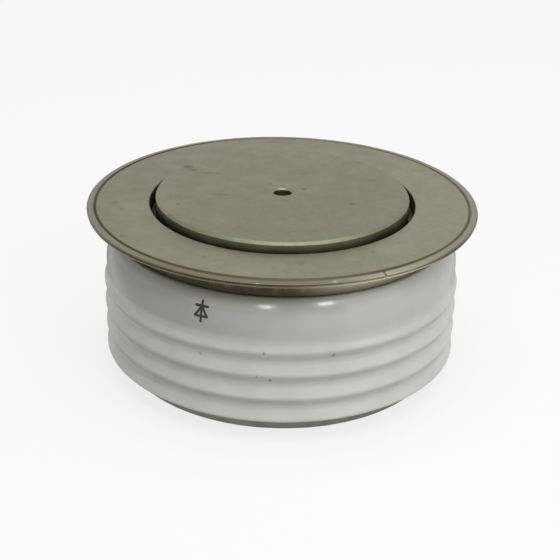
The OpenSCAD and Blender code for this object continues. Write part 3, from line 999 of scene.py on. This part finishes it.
def stroke(start, end, along=24, across=5, blunt=0.02):
    """Strip of ink from start to end, both (sideways, up) in millimetres from the symbol's middle: point =
    start + u (direction) + v (normal), with u over the stroke's length and v over its width. The width
    shrinks over the last half width as a circle does, so the ends are round, but blunt enough to keep
    their points apart. Then the strip is wrapped on the band: angle = sideways / radius."""
    start, end = np.array(start, float), np.array(end, float)
    direction = (end - start) / np.linalg.norm(end - start)
    length = np.linalg.norm(end - start) + STROKE_W
    step = 0.5 - 0.5 * np.cos(np.linspace(0, np.pi, along))
    walked = step * length
    from_end = np.minimum(walked, length - walked)
    inside = np.clip(1 - from_end / (STROKE_W / 2), 0, 1)
    half = STROKE_W / 2 * np.sqrt(np.maximum(1 - inside ** 2, blunt))
    side = np.linspace(-1, 1, across)[None, :] * half[:, None]
    normal = np.array([-direction[1], direction[0]])
    first = start - direction * STROKE_W / 2
    flat = first + walked[:, None, None] * direction + side[..., None] * normal
    height = SYMBOL_Z + flat[..., 1]
    angle = np.radians(SYMBOL_ANGLE) + flat[..., 0] / band_radius(height)
    sunk, lifted = glaze_offset(angle, band_radius(height), height)
    r = band_radius(height) + sunk + INK_LIFT
    points = np.stack([r * np.cos(angle), r * np.sin(angle), height + lifted], -1)
    index = np.arange(along * across).reshape(along, across)
    faces = np.stack([index[:-1, :-1], index[1:, :-1], index[1:, 1:], index[:-1, 1:]], -1)
    return points.reshape(-1, 3), faces.reshape(-1, 4)


half_line, half_bar, half_base = LINE_H / 2, BAR_W / 2, TRIANGLE_W / 2
strokes = [
    stroke((0, -half_line), (0, half_line)),
    stroke((-half_bar, BAR_Z), (half_bar, BAR_Z)),
    stroke((-half_base, TRIANGLE_FOOT), (half_base, TRIANGLE_FOOT)),
    stroke((-half_base, TRIANGLE_FOOT), (0, BAR_Z)),
    stroke((half_base, TRIANGLE_FOOT), (0, BAR_Z)),
]
starts = np.cumsum([0] + [len(points) for points, _ in strokes[:-1]])
ink_points = np.vstack([points for points, _ in strokes])
ink_faces = np.vstack([faces + start for (_, faces), start in zip(strokes, starts)])
middle = ink_points.mean(0) * (1, 1, 0)
corners = ink_points[ink_faces]
normals = np.cross(corners[:, 1] - corners[:, 0], corners[:, 2] - corners[:, 0])
inward = normals @ middle < 0
ink_faces[inward] = ink_faces[inward][:, ::-1]


def ink():
    """Black stamping ink: matte, a little thin in places, so the white shows through as grey."""
    material, tree, place = new_finish("stamp_ink")
    thin = clouds(tree, place, grain=0.5, seed=51, share=(0.5, 0.8), tone=(0, 0.5))
    surface(tree, Base_Color=blend(tree, thin, INK_BLACK, INK_GREY), Roughness=0.4)
    return material


ink_mesh = bpy.data.meshes.new("polarity_mark")
ink_mesh.from_pydata(ink_points * MM, [], ink_faces.tolist())
polarity = finish_piece("polarity_mark", ink_mesh, "glazed_alumina", ink())
film = polarity.modifiers.new("film", "SOLIDIFY")
film.thickness = INK_T * MM
film.offset = -1

# %% [markdown]
# The pieces inside can't be seen in the closed diode, but they are shown when it is taken apart. The
# CAD solids are true to shape, so they stay, and each gets a finish of its own: lapped molybdenum,
# dark silicon with its ground edge, silver foil, milky rubber and white plastic.

# %% Finishes of the inner pieces
SILICON_FACE = (0.09, 0.095, 0.12, 1)
SILICON_GROUND = (0.16, 0.16, 0.17, 1)
WAFER_FACE_R = 24.15
WAFER_BEVEL_R = 24.3


def lapped_metal(name, colour, rough, grain):
    """Metal with a lapped grain: a fine random relief and a slightly cloudy tone."""
    material, tree, place = new_finish(name)
    tone = clouds(tree, place, grain=4, seed=len(name), tone=(0.85, 1.1), detail=4)
    gloss = clouds(tree, place, grain=1.5, seed=7, tone=(rough - 0.06, rough + 0.08))
    lapping = relief(tree, noise(tree, place, grain, seed=5), 0.004)
    surface(tree, Base_Color=shade(tree, colour, tone), Metallic=1.0, Roughness=gloss, Normal=lapping)
    return material


def moulded(name, colour, rough):
    """Moulded rubber or plastic: a faint cloudiness and a soft, slightly uneven surface."""
    material, tree, place = new_finish(name)
    tone = clouds(tree, place, grain=3, seed=len(name), tone=(0.94, 1.03))
    uneven = relief(tree, noise(tree, place, grain=0.8, seed=6), 0.01)
    surface(tree, Base_Color=shade(tree, colour, tone), Roughness=rough, Normal=uneven)
    return material


def silicon():
    """Silicon wafer: dark and glassy metal grey, duller where the edge was ground to its bevel."""
    material, tree, place = new_finish("silicon_grey")
    edge = grade(tree, radius_of(tree, place), WAFER_FACE_R * MM, WAFER_BEVEL_R * MM)
    colour = blend(tree, edge, SILICON_FACE, SILICON_GROUND)
    tone = clouds(tree, place, grain=6, seed=61, tone=(0.9, 1.1))
    gloss = grade(tree, edge, 0, 1, 0.12, 0.5)
    surface(tree, Base_Color=shade(tree, colour, tone), Metallic=0.8, Roughness=gloss)
    return material


molybdenum = lapped_metal("lapped_molybdenum", (0.33, 0.32, 0.31), 0.38, 0.25)
inner_finishes = {
    "anode_disc": molybdenum,
    "cathode_disc": molybdenum,
    "silver_foil": lapped_metal("silver_foil", (0.80, 0.78, 0.74), 0.26, 0.6),
    "silicon_wafer": silicon(),
    "edge_seal": moulded("milky_rubber", (0.70, 0.69, 0.65), 0.45),
    "centring_ring": moulded("white_plastic", (0.72, 0.71, 0.67), 0.5),
}
for node, material in inner_finishes.items():
    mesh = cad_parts[node].data
    mesh.materials.clear()
    mesh.materials.append(material)
print("inner pieces finished:", ", ".join(inner_finishes))
